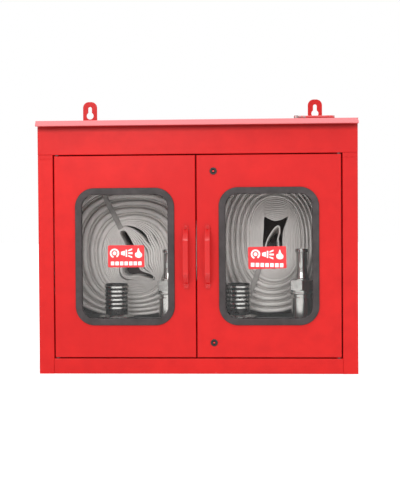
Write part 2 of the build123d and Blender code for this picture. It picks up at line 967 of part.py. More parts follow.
def hose_strap(hand):
    """A webbing loop through the roll's hole and round its rim."""
    run = strap_runs[hand]
    inner = Vector(run["inner"][0], hose_front, run["inner"][1])
    rim = Vector(run["rim"][0], hose_front, run["rim"][1])
    along = (rim - inner).normalized()
    slack = 5.0
    length = (rim - inner).length + slack
    plane = Plane(origin=inner, x_dir=along, z_dir=along.cross(Vector(0, 1, 0)))
    with BuildPart() as strap:
        with BuildSketch(plane.offset(-strap_width / 2)):
            with Locations((length / 2, hose_width / 2)):
                grown = 2 * strap_thickness
                Rectangle(length + grown, hose_width + grown)
                Rectangle(length, hose_width, mode=Mode.SUBTRACT)
        extrude(amount=strap_width)
    save(strap, f"{hand}_strap")


# --- key ---
def lock_key():
    """A short socket key with a flat cross handle, lying on the roof along X."""
    y = -120.0
    left_end = 228.0
    length = 93.0
    thick = 7.0
    shank_radius = 3.2
    socket_radius = 3.4
    shank_z = roof_top + thick / 2
    with BuildPart() as key:
        block((left_end, y - 6, roof_top), (left_end + 9, y + 30, roof_top + thick))
        fillet(key.edges().filter_by(Axis.Z), 3)
        with BuildSketch(Plane.YZ.offset(left_end + 8)):
            with Locations((y, shank_z)):
                Circle(shank_radius)
        extrude(amount=length - 26)
        with BuildSketch(Plane.YZ.offset(left_end + length - 20)):
            with Locations((y, shank_z)):
                Circle(socket_radius)
        extrude(amount=20)
        with BuildSketch(Plane.YZ.offset(left_end + length)):
            with Locations((y, shank_z)):
                Circle(2.2)
        extrude(amount=-9, mode=Mode.SUBTRACT)
    save(key, "lock_key")


os.makedirs("parts", exist_ok=True)

side_wall(-1, "left_side")
side_wall(1, "right_side")
back_panel()
floor_pan()
header_panel()
canopy()
hanging_lugs()
lug_rivets()
hose_shelf()
hinge_pins()
rings("hinge_washers", (sill_top, door_top), (-hinge_x, hinge_x), washer_radius, gap)
door_buffers()
door_catch()
catch_keeper()
for hand, hinge in (("left", -hinge_x), ("right", hinge_x)):
    door_pan(hand)
    gasket(hand)
    glass(hand)
    sticker(hand)
    handle(hand)
    handle_fixings(hand)
    rings(f"{hand}_bushes", (door_bottom, door_top - bush_length), (hinge,), bush_radius, bush_length)
    coupling_pieces(hand)
    branch_pieces(hand)
    hose_roll(hand)
    hose_strap(hand)
lock_housings()
lock_nuts()
for place in lock_heights:
    lock_rotor(place)
    lock_cam(place)
    cam_screw(place)
lock_key()
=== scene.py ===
import math

import bmesh
import bpy
import numpy as np
from mathutils import Matrix, Vector, noise


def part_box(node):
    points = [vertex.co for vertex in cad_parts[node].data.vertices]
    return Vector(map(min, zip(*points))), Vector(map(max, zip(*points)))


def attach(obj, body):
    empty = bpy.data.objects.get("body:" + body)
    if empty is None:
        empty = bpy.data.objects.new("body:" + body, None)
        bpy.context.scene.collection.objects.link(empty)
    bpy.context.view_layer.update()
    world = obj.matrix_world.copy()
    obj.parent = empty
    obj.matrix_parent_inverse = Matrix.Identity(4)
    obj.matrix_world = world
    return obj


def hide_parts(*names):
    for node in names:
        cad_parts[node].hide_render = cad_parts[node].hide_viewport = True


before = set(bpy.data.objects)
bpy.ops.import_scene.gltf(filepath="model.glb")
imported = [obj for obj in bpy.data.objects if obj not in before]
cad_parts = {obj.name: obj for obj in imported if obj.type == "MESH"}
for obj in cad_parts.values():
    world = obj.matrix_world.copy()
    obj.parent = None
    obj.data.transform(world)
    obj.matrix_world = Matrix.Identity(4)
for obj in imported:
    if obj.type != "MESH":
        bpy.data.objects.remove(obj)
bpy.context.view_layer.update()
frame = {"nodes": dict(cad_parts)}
nodes = frame["nodes"]

MM = 0.001
FRONT_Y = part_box("left_door_pan")[0].y
FLOOR_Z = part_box("floor_pan")[0].z


# --- camera, light and floor ---
def add_camera():
    """A camera a little right of the cabinet's middle and below its top, turned slightly left.

    Its place, angles and lens were fitted by a scratch script, at a distance that is assumed.
    """
    distance = 2.62
    across = 0.1524
    height = 0.3737
    turn_left = math.radians(3.175)
    tilt_down = math.radians(1.267)
    roll = math.radians(0.356)
    focal_length = 84.25
    data = bpy.data.cameras.new("camera")
    data.lens = focal_length
    data.clip_end = 50
    camera = bpy.data.objects.new("camera", data)
    aim = Matrix.Rotation(turn_left, 4, "Z") @ Matrix.Rotation(math.pi / 2 - tilt_down, 4, "X")
    camera.matrix_world = (
        Matrix.Translation((across, FRONT_Y - distance, height)) @ aim @ Matrix.Rotation(-roll, 4, "Z")
    )
    bpy.context.scene.collection.objects.link(camera)
    bpy.context.scene.camera = camera


def add_softbox(name, place, target, size, power, colour=(1.0, 1.0, 1.0)):
    """A square area lamp that looks at a point."""
    data = bpy.data.lights.new(name, "AREA")
    data.shape = "RECTANGLE"
    data.size, data.size_y = size
    data.energy = power
    data.color = colour
    lamp = bpy.data.objects.new(name, data)
    lamp.location = place
    lamp.rotation_euler = (Vector(target) - Vector(place)).to_track_quat("-Z", "Y").to_euler()
    bpy.context.scene.collection.objects.link(lamp)


def add_surround():
    """White for the camera, and a separate room for the lighting, bright above and dim in front."""
    horizon, zenith, white = 0.33, 2.1, 1.0
    world = bpy.data.worlds.new("studio")
    world.use_nodes = True
    nodes = world.node_tree.nodes
    link = world.node_tree.links.new
    seen = nodes["Background"]
    seen.inputs["Color"].default_value = (white, white, white, 1)
    lit = nodes.new("ShaderNodeBackground")
    lit.inputs["Color"].default_value = (1, 1, 1, 1)
    direction = nodes.new("ShaderNodeTexCoord")
    split = nodes.new("ShaderNodeSeparateXYZ")
    height = nodes.new("ShaderNodeMapRange")
    height.inputs["To Min"].default_value = horizon
    height.inputs["To Max"].default_value = zenith
    ray = nodes.new("ShaderNodeLightPath")
    mixer = nodes.new("ShaderNodeMixShader")
    link(direction.outputs["Generated"], split.inputs["Vector"])
    link(split.outputs["Z"], height.inputs["Value"])
    link(height.outputs["Result"], lit.inputs["Strength"])
    link(ray.outputs["Is Camera Ray"], mixer.inputs[0])
    link(lit.outputs[0], mixer.inputs[1])
    link(seen.outputs[0], mixer.inputs[2])
    link(mixer.outputs[0], nodes["World Output"].inputs["Surface"])
    bpy.context.scene.world = world


def add_studio():
    """A pale floor, a white surround, and soft lamps in front."""
    add_surround()
    middle = (0.0, 0.0, 0.3)
    add_softbox("front_left", (-0.7, -3.0, 1.3), middle, (1.3, 1.0), 10)
    add_softbox("front_right", (1.2, -3.0, 1.3), middle, (1.3, 1.0), 14)
    add_softbox("near_left", (-0.4, -1.6, 1.05), middle, (0.5, 0.5), 8.5)
    mesh = bpy.data.meshes.new("floor")
    reach = 12.0
    sides = ((-1, -1), (1, -1), (1, 1), (-1, 1))
    mesh.from_pydata([(reach * x, reach * y, FLOOR_Z) for x, y in sides], [], [(0, 1, 2, 3)])
    floor = bpy.data.objects.new("floor", mesh)
    bpy.context.scene.collection.objects.link(floor)
    graph = Graph("floor_paper")
    graph.set(base_color=(0.5, 0.5, 0.5, 1), roughness=0.9, specular=0.1)
    graph.shader.inputs["Emission Color"].default_value = (1, 1, 1, 1)
    graph.shader.inputs["Emission Strength"].default_value = 0.6
    mesh.materials.append(graph.material)
    view = bpy.context.scene.view_settings
    view.view_transform = "Standard"
    view.look = "None"


# --- material helpers ---
SOCKETS = {
    "base_color": "Base Color",
    "roughness": "Roughness",
    "metallic": "Metallic",
    "ior": "IOR",
    "normal": "Normal",
    "coat": "Coat Weight",
    "coat_roughness": "Coat Roughness",
    "sheen": "Sheen Weight",
    "sheen_roughness": "Sheen Roughness",
    "specular": "Specular IOR Level",
    "anisotropic": "Anisotropic",
}


class Graph:
    """One material's nodes, built up by short calls."""

    def __init__(self, name):
        self.material = bpy.data.materials.new(name)
        self.material.use_nodes = True
        tree = self.material.node_tree
        self.nodes = tree.nodes
        self.links = tree.links
        self.shader = tree.nodes["Principled BSDF"]
        self.output = tree.nodes["Material Output"]
        self.place = self.nodes.new("ShaderNodeTexCoord").outputs["Object"]

    def feed(self, socket, value):
        """Puts a number, a colour or another node's output into a socket."""
        if isinstance(value, bpy.types.NodeSocket):
            self.links.new(value, socket)
        else:
            socket.default_value = value

    def set(self, **values):
        for key, value in values.items():
            self.feed(self.shader.inputs[SOCKETS[key]], value)

    def stretch(self, scale):
        """The object's coordinates scaled by an amount for each axis."""
        node = self.nodes.new("ShaderNodeMapping")
        self.feed(node.inputs["Vector"], self.place)
        node.inputs["Scale"].default_value = scale
        return node.outputs["Vector"]

    def noise(self, scale, detail=2.0, roughness=0.5, vector=None):
        node = self.nodes.new("ShaderNodeTexNoise")
        self.feed(node.inputs["Vector"], self.place if vector is None else vector)
        node.inputs["Scale"].default_value = scale
        node.inputs["Detail"].default_value = detail
        node.inputs["Roughness"].default_value = roughness
        return node.outputs["Fac"]

    def wave(self, scale, axis="Z", distortion=0.0, vector=None):
        node = self.nodes.new("ShaderNodeTexWave")
        node.wave_type = "BANDS"
        node.bands_direction = axis
        self.feed(node.inputs["Vector"], self.place if vector is None else vector)
        node.inputs["Scale"].default_value = scale
        node.inputs["Distortion"].default_value = distortion
        return node.outputs["Fac"]

    def span(self, value, low, high, start=0.0, end=1.0):
        """Maps a value that runs from start to end onto low to high."""
        node = self.nodes.new("ShaderNodeMapRange")
        self.feed(node.inputs["Value"], value)
        node.inputs["From Min"].default_value = start
        node.inputs["From Max"].default_value = end
        node.inputs["To Min"].default_value = low
        node.inputs["To Max"].default_value = high
        return node.outputs["Result"]

    def math(self, operation, a, b=0.0):
        node = self.nodes.new("ShaderNodeMath")
        node.operation = operation
        self.feed(node.inputs[0], a)
        self.feed(node.inputs[1], b)
        return node.outputs["Value"]

    def mix(self, factor, a, b):
        """Blends two colours."""
        node = self.nodes.new("ShaderNodeMix")
        node.data_type = "RGBA"
        self.feed(node.inputs[0], factor)
        self.feed(node.inputs[6], a)
        self.feed(node.inputs[7], b)
        return node.outputs[2]

    def bump(self, height, distance, strength=1.0, normal=None):
        node = self.nodes.new("ShaderNodeBump")
        self.feed(node.inputs["Height"], height)
        node.inputs["Distance"].default_value = distance
        node.inputs["Strength"].default_value = strength
        if normal is not None:
            self.feed(node.inputs["Normal"], normal)
        return node.outputs["Normal"]

    def axis(self, name):
        """One coordinate of the surface point."""
        node = self.nodes.new("ShaderNodeSeparateXYZ")
        self.feed(node.inputs["Vector"], self.place)
        return node.outputs[name]


def distance_from_axes(graph, places, names):
    """How far a point is from the nearest of some parallel axes, measured along two coordinates."""
    nearest = None
    for place in places:
        squares = []
        for name, middle in zip(names, place):
            offset = graph.math("SUBTRACT", graph.axis(name), middle)
            squares.append(graph.math("MULTIPLY", offset, offset))
        radius = graph.math("SQRT", graph.math("ADD", *squares))
        nearest = radius if nearest is None else graph.math("MINIMUM", nearest, radius)
    return nearest


def middle_of(node):
    low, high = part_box(node)
    return (low + high) / 2


# --- materials ---
def inside_the_walls(graph):
    """One on the faces that look into the cabinet behind its doors, and nought on every other face: the mask
    for the enamel's painted shade.
    """
    skin = 0.4 * MM
    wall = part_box("right_side")[1].x - 2 * skin
    behind_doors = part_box("left_door_pan")[1].y + skin
    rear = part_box("back_panel")[1].y - 2 * skin
    across = graph.math("LESS_THAN", graph.math("ABSOLUTE", graph.axis("X")), wall)
    front = graph.math("GREATER_THAN", graph.axis("Y"), behind_doors)
    back = graph.math("LESS_THAN", graph.axis("Y"), rear)
    low = graph.math("GREATER_THAN", graph.axis("Z"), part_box("floor_pan")[0].z + skin)
    high = graph.math("LESS_THAN", graph.axis("Z"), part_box("header_panel")[1].z - skin)
    depth = graph.math("MULTIPLY", front, back)
    height = graph.math("MULTIPLY", low, high)
    return graph.math("MULTIPLY", across, graph.math("MULTIPLY", depth, height))


def canopy_wear(graph):
    """How strong the painted highlight on the canopy's front lip is, and the painted shadow on the faces just
    under it.
    """
    lip_depth = 16.0 * MM
    skin = 2.0 * MM
    shadow_reach = 13.0 * MM
    lip_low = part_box("canopy")[0].z
    # Painted highlight: the lip's front face, made pale pink in place of the sheen of the light above.
    lip_face = graph.math("LESS_THAN", graph.axis("Y"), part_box("canopy")[0].y + lip_depth)
    above = graph.math("GREATER_THAN", graph.axis("Z"), lip_low)
    lip_highlight = graph.math("MULTIPLY", lip_face, above)
    # Painted shadow: the front faces just under the lip, darkest at the lip and fading downwards.
    front_face = graph.math("LESS_THAN", graph.axis("Y"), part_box("header_panel")[0].y + skin)
    below = graph.math("SUBTRACT", 1.0, above)
    near = graph.span(graph.axis("Z"), 0.0, 0.75, lip_low - shadow_reach, lip_low)
    lip_shadow = graph.math("MULTIPLY", front_face, graph.math("MULTIPLY", below, near))
    return lip_highlight, lip_shadow


def red_enamel(name, specular, low, high):
    """Sprayed gloss enamel with orange peel and an uneven coat, with painted shade on the faces inside the
    cabinet, a painted highlight on the canopy's front lip and a painted shadow on the faces just under it.
    """
    graph = Graph(name)
    broad = graph.noise(3.2, 3.0)
    cloudy = graph.noise(26.0, 4.0, 0.6)
    patches = graph.math("MULTIPLY", broad, cloudy)
    tone = graph.span(patches, 0.0, 1.0, 0.14, 0.38)
    colour = graph.mix(tone, (0.465, 0.0065, 0.0065, 1), (0.53, 0.009, 0.008, 1))
    lip_highlight, lip_shadow = canopy_wear(graph)
    # Painted highlight on the canopy's front lip.
    colour = graph.mix(lip_highlight, colour, (0.61, 0.165, 0.175, 1))
    # Painted shadow just under the canopy's lip.
    colour = graph.mix(lip_shadow, colour, (0.14, 0.004, 0.004, 1))
    # Painted shade: the faces inside the cabinet are made near black, in place of the shade behind the doors.
    colour = graph.mix(inside_the_walls(graph), colour, (0.035, 0.012, 0.012, 1))
    peel = graph.noise(420.0, 1.0)
    waviness = graph.noise(9.0, 1.0)
    normal = graph.bump(waviness, 0.004, 0.25)
    normal = graph.bump(peel, 0.00012, 0.5, normal)
    roughness = graph.span(graph.noise(60.0, 5.0, 0.7), low, high)
    graph.set(base_color=colour, roughness=roughness, normal=normal, specular=specular)
    graph.set(coat=0.02, coat_roughness=0.2)
    return graph.material


def dark_rubber(name, dark, light, specular=0.5):
    """Moulded rubber with a faint bloom and fine grain."""
    graph = Graph(name)
    bloom = graph.span(graph.noise(38.0, 5.0, 0.65), 0.0, 1.0, 0.35, 0.7)
    colour = graph.mix(bloom, dark, light)
    grain = graph.noise(900.0, 2.0)
    drag = graph.noise(70.0, 3.0)
    normal = graph.bump(drag, 0.0006, 0.3)
    normal = graph.bump(grain, 0.00008, 0.5, normal)
    roughness = graph.span(graph.noise(120.0, 3.0), 0.48, 0.66)
    graph.set(base_color=colour, roughness=roughness, normal=normal, specular=specular)
    return graph.material


def turned_alloy(name, dark, light, low, high, grooves=None):
    """Machined bright metal with fine turning lines round the vertical, made near black towards the floors of
    its grooves.
    """
    graph = Graph(name)
    lines = graph.wave(620.0, "Z", 1.2)
    soot = graph.span(graph.noise(55.0, 5.0, 0.7), 0.0, 1.0, 0.42, 0.75)
    colour = graph.mix(soot, light, dark)
    normal = graph.bump(lines, 0.00002, 0.3)
    normal = graph.bump(graph.noise(70.0, 2.0), 0.0004, 0.08, normal)
    if grooves is not None:
        middles, floor_radius, rib_radius = grooves
        radius = distance_from_axes(graph, middles, "XY")
        # Near black at the groove floors, rising to the metal's own colour at the rib faces.
        lighter = graph.span(radius, 0.0, 1.0, floor_radius, rib_radius)
        colour = graph.mix(lighter, (0.035, 0.031, 0.031, 1), colour)
    roughness = graph.span(graph.noise(90.0, 4.0, 0.6), low, high)
    graph.set(base_color=colour, roughness=roughness, normal=normal, metallic=1.0)
    return graph.material


def zinc_plate():
    """Zinc plate with faint crystal patches."""
    graph = Graph("zinc_plate")
    voronoi = graph.nodes.new("ShaderNodeTexVoronoi")
    voronoi.inputs["Scale"].default_value = 240.0
    graph.feed(voronoi.inputs["Vector"], graph.place)
    flakes = graph.span(voronoi.outputs["Distance"], 0.0, 1.0, 0.1, 0.7)
    colour = graph.mix(flakes, (0.55, 0.56, 0.57, 1), (0.68, 0.67, 0.63, 1))
    roughness = graph.span(graph.noise(150.0, 4.0), 0.28, 0.48)
    normal = graph.bump(graph.noise(500.0, 3.0), 0.0001, 0.3)
    graph.set(base_color=colour, roughness=roughness, normal=normal, metallic=1.0)
    return graph.material


def moulded_plastic(name, colour, low, high):
    """Plain moulded plastic with a fine spark-eroded grain."""
    graph = Graph(name)
    shade = graph.span(graph.noise(45.0, 3.0), 0.0, 1.0, 0.3, 0.7)
    darker = tuple(c * 0.86 for c in colour[:3]) + (1,)
    normal = graph.bump(graph.noise(1100.0, 2.0), 0.00006, 0.5)
    roughness = graph.span(graph.noise(80.0, 3.0), low, high)
    graph.set(base_color=graph.mix(shade, darker, colour), roughness=roughness, normal=normal)
    return graph.material


def window_glass():
    """Clear float glass that lets the lamps through, with faint smears in its gloss."""
    graph = Graph("window_glass")
    clear = graph.nodes.new("ShaderNodeBsdfTransparent")
    clear.inputs["Color"].default_value = (0.975, 0.978, 0.975, 1)
    gloss = graph.nodes.new("ShaderNodeBsdfGlossy")
    gloss.inputs["Color"].default_value = (1, 1, 1, 1)
    smear = graph.noise(14.0, 4.0, 0.7, graph.stretch((1.0, 1.0, 2.6)))
    graph.feed(gloss.inputs["Roughness"], graph.span(smear, 0.02, 0.07, 0.35, 0.75))
    # Schlick's falloff is the same on both faces of a pane, so that a slanting ray is let out again.
    # Real glass reflects about 0.04 head-on. Less is used here so that the inside looks darker.
    head_on = 0.015
    facing = graph.nodes.new("ShaderNodeLayerWeight")
    facing.inputs["Blend"].default_value = 0.5
    slant = graph.math("POWER", facing.outputs["Facing"], 5.0)
    mixer = graph.nodes.new("ShaderNodeMixShader")
    graph.feed(mixer.inputs[0], graph.span(slant, head_on, 1.0))
    graph.links.new(clear.outputs[0], mixer.inputs[1])
    graph.links.new(gloss.outputs[0], mixer.inputs[2])
    graph.links.new(mixer.outputs[0], graph.output.inputs["Surface"])
    graph.nodes.remove(graph.shader)
    return graph.material


def hose_jacket():
    """Undyed woven polyester: fine ribs along the hose, picks across it, and handling marks."""
    graph = Graph("hose_jacket")
    weave_across = graph.wave(520.0, "Y", 0.6)
    weave_along = graph.noise(900.0, 1.0)
    ribs = graph.math("MULTIPLY", weave_across, 0.6)
    weave = graph.math("ADD", ribs, graph.math("MULTIPLY", weave_along, 0.5))
    soil = graph.span(graph.noise(17.0, 5.0, 0.7), 0.0, 1.0, 0.4, 0.72)
    thread = graph.span(weave, 0.0, 1.0, 0.2, 0.9)
    lighter = graph.mix(thread, (0.70, 0.66, 0.635, 1), (0.86, 0.82, 0.80, 1))
    colour = graph.mix(graph.math("MULTIPLY", soil, 0.35), lighter, (0.56, 0.52, 0.50, 1))
    normal = graph.bump(weave, 0.0004, 0.6)
    graph.set(base_color=colour, roughness=0.88, normal=normal, sheen=0.25, sheen_roughness=0.5)
    return graph.material


def strap_webbing():
    """Flat cotton webbing with a rib across it."""
    graph = Graph("strap_webbing")
    rib = graph.noise(700.0, 2.0)
    worn = graph.span(graph.noise(60.0, 4.0), 0.0, 1.0, 0.3, 0.7)
    colour = graph.mix(worn, (0.30, 0.28, 0.27, 1), (0.40, 0.375, 0.36, 1))
    graph.set(base_color=colour, roughness=0.85, normal=graph.bump(rib, 0.0003, 0.7), sheen=0.2)
    return graph.material


def printed_film(name, colour):
    """Vinyl film with a soft gloss and a slight lift in its surface."""
    graph = Graph(name)
    shade = graph.span(graph.noise(70.0, 3.0), 0.0, 1.0, 0.35, 0.7)
    darker = tuple(c * 0.9 for c in colour[:3]) + (1,)
    normal = graph.bump(graph.noise(35.0, 2.0), 0.0006, 0.2)
    graph.set(base_color=graph.mix(shade, darker, colour), roughness=0.34, normal=normal)
    return graph.material


def key_steel():
    """Plain steel with patches of thin red paint, whose red also stands in for the red cabinet's reflection
    in the steel: part paint, part painted reflection.
    """
    graph = Graph("key_steel")
    # Dark red patches: part paint, part painted reflection of the red cabinet.
    paint = graph.span(graph.noise(45.0, 4.0, 0.6), 0.0, 1.0, 0.44, 0.54)
    colour = graph.mix(paint, (0.30, 0.26, 0.25, 1), (0.50, 0.03, 0.03, 1))
    metal = graph.span(paint, 0.8, 0.0)
    normal = graph.bump(graph.noise(320.0, 3.0), 0.0002, 0.4)
    graph.set(base_color=colour, roughness=0.4, metallic=metal, normal=normal)
    return graph.material


def lock_insert():
    """Dark plated rotor with a red pin at its middle."""
    graph = Graph("lock_insert")
    pin_radius = 2.4 * MM
    middles = [middle_of(name) for name in ("top_lock_rotor", "bottom_lock_rotor")]
    from_axis = distance_from_axes(graph, [(m.x, m.z) for m in middles], "XZ")
    rim = graph.span(from_axis, 0.0, 1.0, pin_radius * 0.92, pin_radius * 1.08)
    worn = graph.span(graph.noise(400.0, 3.0), 0.0, 1.0, 0.3, 0.7)
    plated = graph.mix(worn, (0.010, 0.009, 0.009, 1), (0.030, 0.024, 0.023, 1))
    graph.set(base_color=graph.mix(rim, (0.62, 0.03, 0.03, 1), plated), roughness=0.3, specular=0.3)
    graph.set(normal=graph.bump(graph.noise(900.0, 2.0), 0.0001, 0.3))
    return graph.material


# --- mesh helpers ---
def new_object(name, points, faces, smooth=True):
    mesh = bpy.data.meshes.new(name)
    mesh.from_pydata([tuple(p) for p in points], [], faces)
    mesh.validate()
    thing = bpy.data.objects.new(name, mesh)
    bpy.context.scene.collection.objects.link(thing)
    build = bmesh.new()
    build.from_mesh(mesh)
    bmesh.ops.recalc_face_normals(build, faces=build.faces)
    build.to_mesh(mesh)
    build.free()
    mesh.shade_smooth() if smooth else mesh.shade_flat()
    return thing


def ring_faces(rings, around, closed=False):
    """Faces of a tube whose rings of points follow one another, with flat caps unless it closes on itself."""
    faces = []
    for i in range(rings if closed else rings - 1):
        here = i * around
        there = (i + 1) % rings * around
        for j in range(around):
            k = (j + 1) % around
            faces.append((here + j, here + k, there + k, there + j))
    if not closed:
        faces.append(tuple(range(around)))
        faces.append(tuple(range((rings - 1) * around, rings * around)))
    return faces


def catmull_rom(a, b, c, d, t):
    """Points between b and c on the Catmull-Rom curve through four points."""
    return 0.5 * (2 * b + (c - a) * t + (2 * a - 5 * b + 4 * c - d) * t**2 + (3 * b - a - 3 * c + d) * t**3)


def smooth_closed(points, count):
    """A closed Catmull-Rom curve through the points, sampled at even lengths."""
    points = np.array(points, float)
    steps = 24
    t = np.linspace(0, 1, steps, endpoint=False)[:, None]
    pieces = []
    for i in range(len(points)):
        a, b, c, d = (points[(i + k) % len(points)] for k in (-1, 0, 1, 2))
        pieces.append(catmull_rom(a, b, c, d, t))
    dense = np.vstack(pieces)
    dense = np.vstack([dense, dense[:1]])
    length = np.concatenate([[0], np.cumsum(np.linalg.norm(np.diff(dense, axis=0), axis=1))])
    at = np.linspace(0, length[-1], count + 1)
    return np.column_stack([np.interp(at, length, dense[:, k]) for k in (0, 1)])


# --- the rolled hoses ---
def smooth_step(value):
    value = np.clip(value, 0, 1)
    return value * value * (3 - 2 * value)


class Coil:
    """A flat hose folded at its middle and rolled up from the fold, so that two layers run side by side.

    A point's place is its share of the way round, clockwise from the hollow's first point, and its depth
    in layers. Layers fill the space from the hollow's outline to an oval where the tight turns end, and
    on to the roll's outline. clock gives the ovals' clock angle, in degrees, at some shares. A gap opens
    between two layers: its share, its width in shares, the layer inside it and its opening. All in mm.
    """

    tight_layers = 12
    steps_per_turn = 120
    loose_recess = 11.0
    tight_recess = 0.5
    wide_share = 0.64
    snugness = 0.98

    def __init__(self, hollow, clock, tight, outer, loose_layers, gaps=()):
        self.hollow = smooth_closed(hollow, 720)
        self.clock = clock
        self.tight = tight
        self.outer = outer
        self.loose_layers = loose_layers
        self.gaps = gaps

    def oval(self, form, share):
        """Points of an oval, given its centre, its half sizes and how much fuller than an ellipse it is."""
        (x, z), (half_x, half_z), squareness = form
        angle = np.radians(np.interp(share % 1, *zip(*self.clock)))
        u, v = np.sin(angle), np.cos(angle)
        reach = (np.abs(u) ** squareness + np.abs(v) ** squareness) ** (-1 / squareness)
        return np.column_stack([x + half_x * u * reach, z + half_z * v * reach])

    def place(self, share, depth, layer_depth):
        """Points at these shares and depths, pushed out by each gap that lies inside layer_depth."""
        around = np.linspace(0, 1, len(self.hollow))
        inner = np.column_stack([np.interp(share % 1, around, self.hollow[:, k]) for k in (0, 1)])
        tight = self.oval(self.tight, share)
        outer = self.oval(self.outer, share)
        span = np.linalg.norm(tight - inner, axis=1)
        opened = np.zeros_like(span)
        passed = np.zeros_like(span)
        for middle, width, layer, opening in self.gaps:
            away = (share - middle + 0.5) % 1 - 0.5
            here = opening * np.exp(-((away / width) ** 2))
            edge = 2 * (middle + away) + layer + 0.55
            opened += here
            passed += here * smooth_step((layer_depth - edge) / 0.9)
        pitch = (span - opened) / self.tight_layers
        inside = np.minimum(depth, self.tight_layers) * pitch + passed
        beyond = np.maximum(depth - self.tight_layers, 0) / self.loose_layers
        return inner + (tight - inner) * (inside / span)[:, None] + (outer - tight) * beyond[:, None]

    def strand(self, start, end, layer):
        """One of the two layers, from inside to outside: centre points, half thicknesses and recesses."""
        turns = np.linspace(start, end, int((end - start) * self.steps_per_turn))
        inner_edge = 2 * turns
        loose = smooth_step((inner_edge - self.tight_layers + 2) / 3)
        shared_edge = inner_edge + 1 + (2 * self.wide_share - 1) * loose
        outer_edge = inner_edge + 2
        low, high = (inner_edge, shared_edge) if layer == 0 else (shared_edge, outer_edge)
        middle = (low + high) / 2
        inside = self.place(turns, low, middle)
        outside = self.place(turns, high, middle)
        points = (inside + outside) / 2
        along = np.gradient(points, axis=0)
        along /= np.linalg.norm(along, axis=1)[:, None]
        step = outside - inside
        room = np.abs(along[:, 0] * step[:, 1] - along[:, 1] * step[:, 0]) / 2
        half = np.clip(room * self.snugness, 0.8, 8.0)
        recess = self.tight_recess * layer * (1 - loose) + self.loose_recess * layer * loose
        return points, half, recess

    def whole(self, first, second, fold):
        """The whole hose: one layer from its outer end to the fold, the fold, and the other outwards."""
        points_a, half_a, recess_a = self.strand(*first, 0)
        points_b, half_b, recess_b = self.strand(*second, 1)
        fold_points, fold_half, lean = fold
        bend = open_curve([points_a[6], points_a[0], *fold_points, points_b[0], points_b[6]], 12)
        bend = bend[12:-12]
        points = np.vstack([points_a[::-1], bend[1:-1], points_b])
        middle = len(bend) - 2
        half = np.concatenate([half_a[::-1], np.full(middle, fold_half), half_b])
        recess = np.concatenate([recess_a[::-1], np.full(middle, 0.2), recess_b])
        bulge = np.sin(np.linspace(0, np.pi, middle)) ** 2
        leaning = np.zeros((len(points), 2))
        leaning[len(points_a) : len(points_a) + middle] = bulge[:, None] * np.array(lean)
        return points, half, recess, leaning


def open_curve(points, steps):
    """A Catmull-Rom curve from the second point to the last but one, and straight to the ends."""
    points = np.array(points, float)
    ends = np.vstack([2 * points[0] - points[1], points, 2 * points[-1] - points[-2]])
    t = np.linspace(0, 1, steps, endpoint=False)[:, None]
    pieces = []
    for a, b, c, d in zip(ends, ends[1:], ends[2:], ends[3:]):
        pieces.append(catmull_rom(a, b, c, d, t))
    return np.vstack([*pieces, points[-1:]])


def soften(values, reach):
    """A running mean, so that thickness and depth change slowly along a strand."""
    window = np.hanning(2 * reach + 3)[1:-1]
    padded = np.pad(values, reach, mode="edge")
    return np.convolve(padded, window / window.sum(), mode="valid")


def hose_mesh(name, node, points, half, recess, leaning):
    """The flat hose as a band as deep as its flat width, with rounded folded edges at front and back."""
    low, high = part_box(node)
    front, back = low.y / MM, high.y / MM
    half = soften(half, 6)
    recess = soften(recess, 10)
    along = np.gradient(points, axis=0)
    along /= np.linalg.norm(along, axis=1)[:, None]
    across = np.column_stack([along[:, 1], -along[:, 0]])
    front_arc = np.radians(np.linspace(-90, 90, 7))
    back_arc = np.radians(np.linspace(90, -90, 4))
    rings = []
    travelled = np.concatenate([[0], np.cumsum(np.linalg.norm(np.diff(points, axis=0), axis=1))])
    for i, (x, z) in enumerate(points):
        wander = noise.noise(Vector((travelled[i] / 85, len(name), 0.3)))
        swell = 1 + 0.03 * noise.noise(Vector((travelled[i] / 40, len(name), 4.7)))
        h = half[i] * swell
        start = front + 1.1 + recess[i] + 1.1 * wander
        round_depth = min(h, 5.0)
        outline = [(h * math.sin(a), start + round_depth * (1 - math.cos(a))) for a in front_arc]
        outline += [(h * math.sin(a), back - round_depth * (1 - math.cos(a))) for a in back_arc]
        for side, y in outline:
            deep = np.clip((y - front) / 40, 0, 1)
            rings.append(
                (
                    (x + across[i, 0] * side + leaning[i, 0] * deep) * MM,
                    y * MM,
                    (z + across[i, 1] * side + leaning[i, 1] * deep) * MM,
                )
            )
    hose = new_object(name, rings, ring_faces(len(points), len(front_arc) + len(back_arc)))
    print(name, "is", round(travelled[-1] / 1000, 2), "m long along its middle")
    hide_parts(node)
    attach(hose, "cabinet")
    return hose


